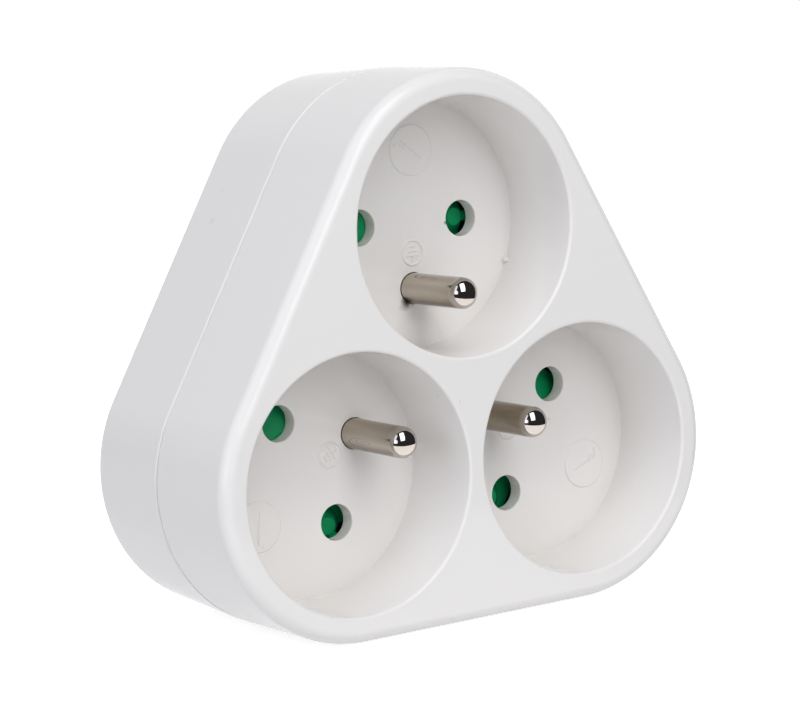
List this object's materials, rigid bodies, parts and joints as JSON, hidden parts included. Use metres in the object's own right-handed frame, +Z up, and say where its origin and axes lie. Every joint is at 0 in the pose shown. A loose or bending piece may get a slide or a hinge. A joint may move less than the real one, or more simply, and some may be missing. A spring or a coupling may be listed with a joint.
{
  "type": "multi socket adapter",
  "caption": "Rounded triangular plug-in adapter with round recessed earthed sockets in its face, sliding shutters behind their pin holes and a round earthed plug on its back.",
  "frame": {"origin": "centre of the plug's face, midway between its two pins", "axes": "+Y out of the back along the plug's pins, so the sockets face -Y; +Z up to the block's apex; X across, along the line of the plug's pins"},
  "size_m": [0.0898, 0.0734, 0.0841],
  "materials": {
    "white_plastic": "satin moulded",
    "green_plastic": "moulded",
    "blue_plastic": "moulded",
    "nickel_plate": "nickel plated",
    "bare_brass": "rolled strip",
    "zinc_steel": "zinc plated",
    "spring_wire": "drawn wire"
  },
  "bodies": {
    "root": {"front_cover": "white_plastic", "rear_cover": "white_plastic", "contact_carrier": "blue_plastic", "earth_pin_top": "nickel_plate", "earth_pin_left": "nickel_plate", "earth_pin_right": "nickel_plate", "shutter_spring_top": "spring_wire", "shutter_spring_left": "spring_wire", "shutter_spring_right": "spring_wire", "live_busbar": "bare_brass", "neutral_busbar": "bare_brass", "earth_busbar": "bare_brass", "live_clip_top": "bare_brass", "live_clip_left": "bare_brass", "live_clip_right": "bare_brass", "neutral_clip_top": "bare_brass", "neutral_clip_left": "bare_brass", "neutral_clip_right": "bare_brass", "contact_rivets": "zinc_steel", "plug_pin_live": "nickel_plate", "plug_pin_neutral": "nickel_plate", "plug_earth_sleeve": "bare_brass", "plug_earth_clip": "nickel_plate", "cover_screws": "zinc_steel"},
    "shutter_top": {"shutter_top": "green_plastic"},
    "shutter_left": {"shutter_left": "green_plastic"},
    "shutter_right": {"shutter_right": "green_plastic"}
  },
  "joints": [
    {"name": "shutter_top_slide", "type": "slide", "parent": "root", "child": "shutter_top", "axis": [1, 0, 0], "range_m": [0, 0.0058], "stiffness_N_per_m": 40, "springref_m": -0.004, "deforming": ["shutter_spring_top"]},
    {"name": "shutter_left_slide", "type": "slide", "parent": "root", "child": "shutter_left", "axis": [0.5, 0, -0.866], "range_m": [0, 0.0058], "stiffness_N_per_m": 40, "springref_m": -0.004, "deforming": ["shutter_spring_left"]},
    {"name": "shutter_right_slide", "type": "slide", "parent": "root", "child": "shutter_right", "axis": [-0.5, 0, -0.866], "range_m": [0, 0.0058], "stiffness_N_per_m": 40, "springref_m": -0.004, "deforming": ["shutter_spring_right"]}
  ]
}
